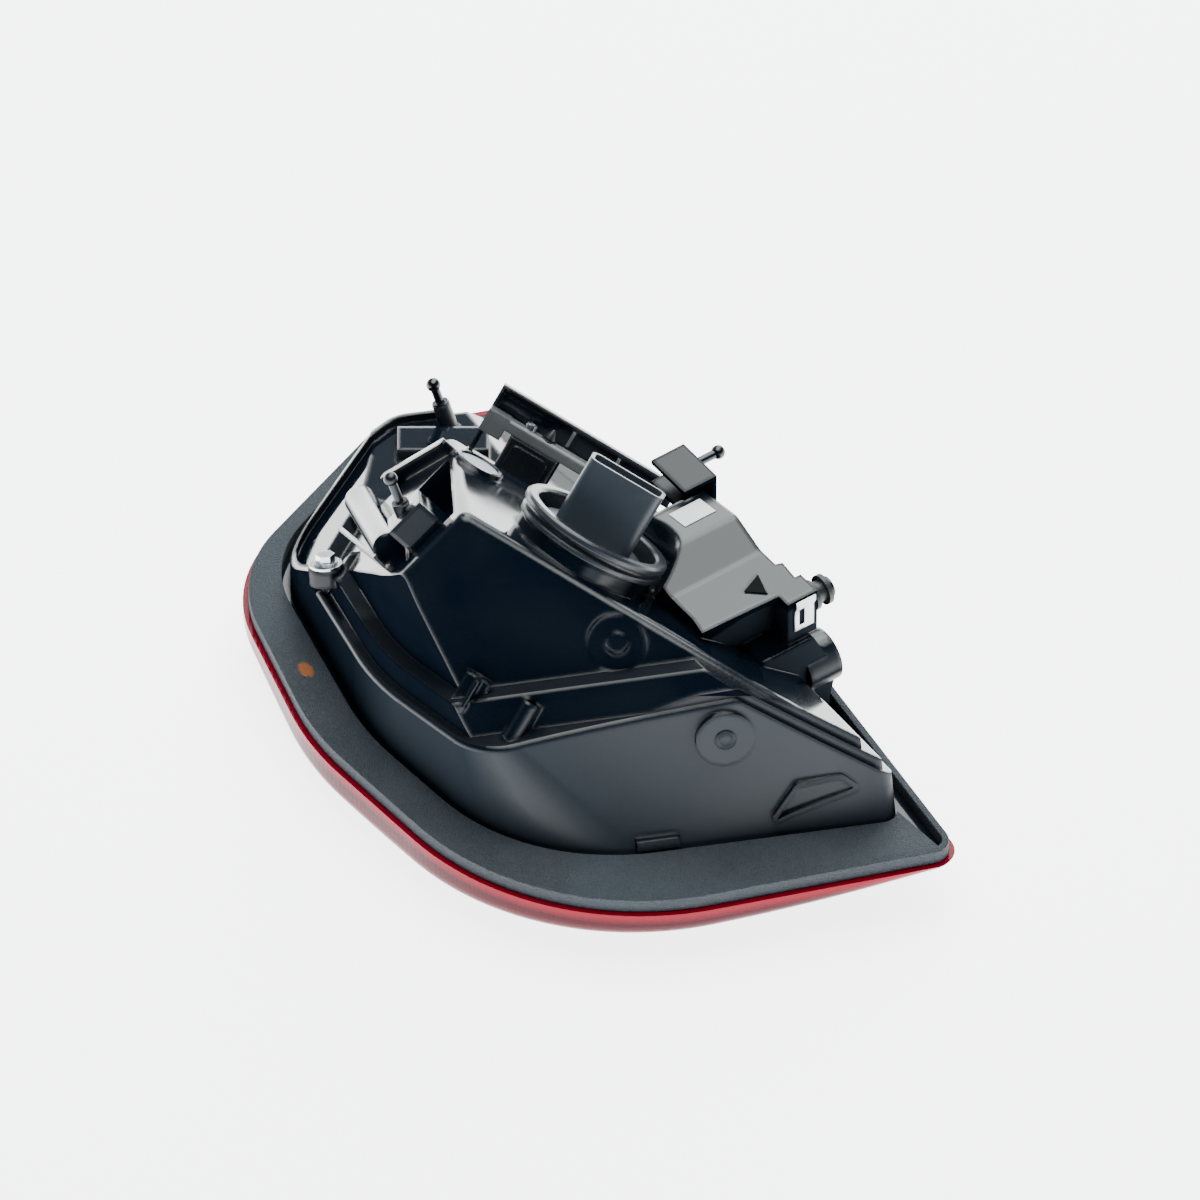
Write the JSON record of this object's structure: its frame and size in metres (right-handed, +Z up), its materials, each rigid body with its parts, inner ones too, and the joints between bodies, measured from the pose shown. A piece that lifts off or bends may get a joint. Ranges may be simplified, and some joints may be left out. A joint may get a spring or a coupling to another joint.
{
  "type": "tail light cluster",
  "caption": "Rear lamp cluster with a curved red lens, foam rim gasket and a black moulded housing carrying a round plug connector, vent and ball studs.",
  "frame": {"origin": "centre of the bounding box's underside, on the bench that the lens rests on", "axes": "+Z up out of the lens towards the housing's back, +X along the front edge towards the pointed tip, +Y towards the rear end"},
  "size_m": [0.356, 0.3588, 0.1774],
  "materials": {
    "housing_black": "gloss black moulding with soft highlights",
    "lens_red": "clear crimson, glossy",
    "foam_gasket": "matt closed-cell foam",
    "seal_rubber": "satin black rubber",
    "shroud_black": "satin black moulding",
    "terminal_brass": "tinned",
    "membrane_grey": "pale woven membrane",
    "module_black": "satin black",
    "stud_dark_steel": "dark passivated steel",
    "bush_rubber": "satin black rubber",
    "zinc_steel": "bright zinc plate",
    "label_white": "blank paper-like film",
    "bezel_black": "gloss black",
    "guide_clear": "clear acrylic",
    "reflector_chrome": "metallised",
    "board_green": "solder mask",
    "emitter_amber": "phosphor coat",
    "reflex_red": "prismatic red"
  },
  "bodies": {
    "root": {"housing": "housing_black", "outer_lens": "lens_red", "rim_gasket": "foam_gasket", "connector_seal": "seal_rubber", "connector_shroud": "shroud_black", "connector_pins": "terminal_brass", "vent_membrane": "membrane_grey", "driver_module": "module_black", "module_cover": "module_black", "module_screw": "zinc_steel", "left_ball_stud": "stud_dark_steel", "rear_ball_stud": "stud_dark_steel", "right_ball_stud": "stud_dark_steel", "damper_bush": "bush_rubber", "damper_stud": "stud_dark_steel", "flange_screw": "zinc_steel", "screw_washer": "zinc_steel", "blank_label": "label_white", "spring_clip": "zinc_steel", "inner_bezel": "bezel_black", "tail_light_guide": "guide_clear", "brake_reflector": "reflector_chrome", "brake_board": "board_green", "brake_emitter": "emitter_amber", "reverse_reflector": "reflector_chrome", "reverse_board": "board_green", "reverse_emitter": "emitter_amber", "reflex_reflector": "reflex_red"}
  },
  "joints": []
}
